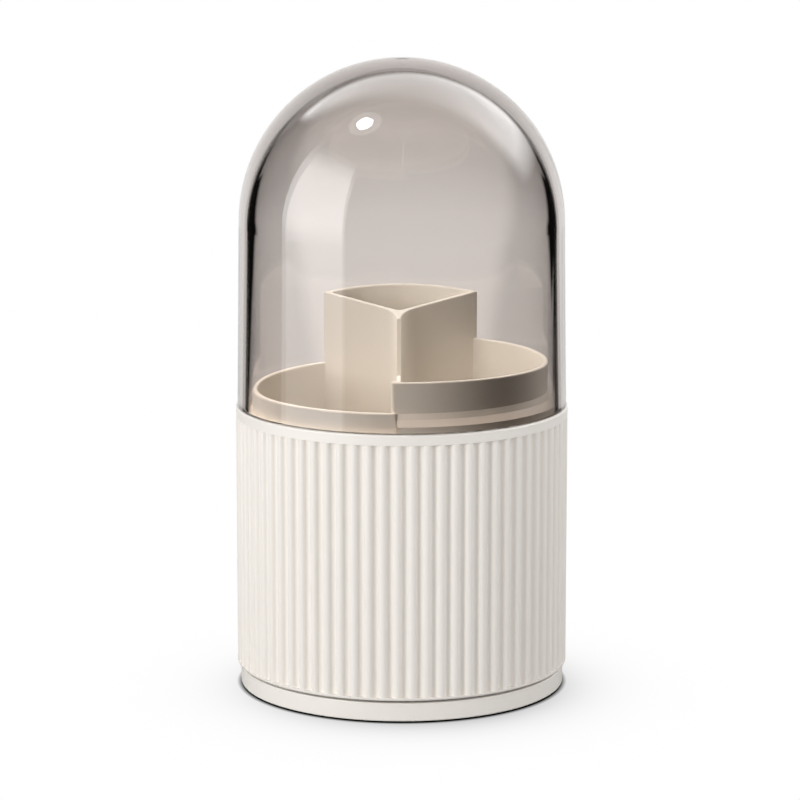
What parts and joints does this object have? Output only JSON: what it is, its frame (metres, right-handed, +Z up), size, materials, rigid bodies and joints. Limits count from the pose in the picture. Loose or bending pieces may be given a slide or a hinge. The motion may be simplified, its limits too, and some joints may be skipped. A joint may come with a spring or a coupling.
{
  "type": "rotating makeup brush holder",
  "caption": "Turntable makeup brush holder: fluted ivory drum that spins on a low base, stepped beige insert with brush wells, and a lift-off clear smoke dome.",
  "frame": {"origin": "on the table, under the centre of the base", "axes": "+Z up along the spin axis, -Y towards the front, where the insert's rim steps, +X to the right"},
  "size_m": [0.115, 0.115, 0.2188],
  "materials": {
    "ivory_plastic": "satin ivory plastic",
    "beige_plastic": "satin beige plastic",
    "smoke_clear": "clear smoke acrylic, polished",
    "steel": "plain steel",
    "bearing_plastic": "white bearing plastic",
    "rubber": "matt rubber"
  },
  "bodies": {
    "base": {"base_plate": "ivory_plastic", "anti_slip_pads": "rubber", "lower_race": "bearing_plastic", "lower_race_screws": "steel", "pivot_bolt": "steel", "thrust_washer": "steel", "lock_nut": "steel"},
    "ball_ring": {"ball_cage": "bearing_plastic", "bearing_balls": "steel"},
    "drum": {"fluted_sleeve": "ivory_plastic", "drum_floor": "ivory_plastic", "floor_screws": "steel", "upper_race": "bearing_plastic", "upper_race_screws": "steel", "pivot_bush": "bearing_plastic"},
    "insert": {"brush_insert": "beige_plastic"},
    "dome": {"dome_lid": "smoke_clear"}
  },
  "joints": [
    {"name": "drum_spin", "type": "hinge", "parent": "base", "child": "drum", "pos_m": [0, 0, 0.0061], "axis": [0, 0, 1], "continuous": true},
    {"name": "cage_spin", "type": "hinge", "parent": "base", "child": "ball_ring", "pos_m": [0, 0, 0.0061], "axis": [0, 0, 1], "continuous": true},
    {"name": "insert_lift", "type": "slide", "parent": "drum", "child": "insert", "axis": [0, 0, 1], "range_m": [0, 0.09]},
    {"name": "dome_lift", "type": "slide", "parent": "insert", "child": "dome", "axis": [0, 0, 1], "range_m": [0, 0.12]}
  ],
  "couplings": [
    {"joint": "cage_spin", "follows": "drum_spin", "ratio": 0.5}
  ]
}
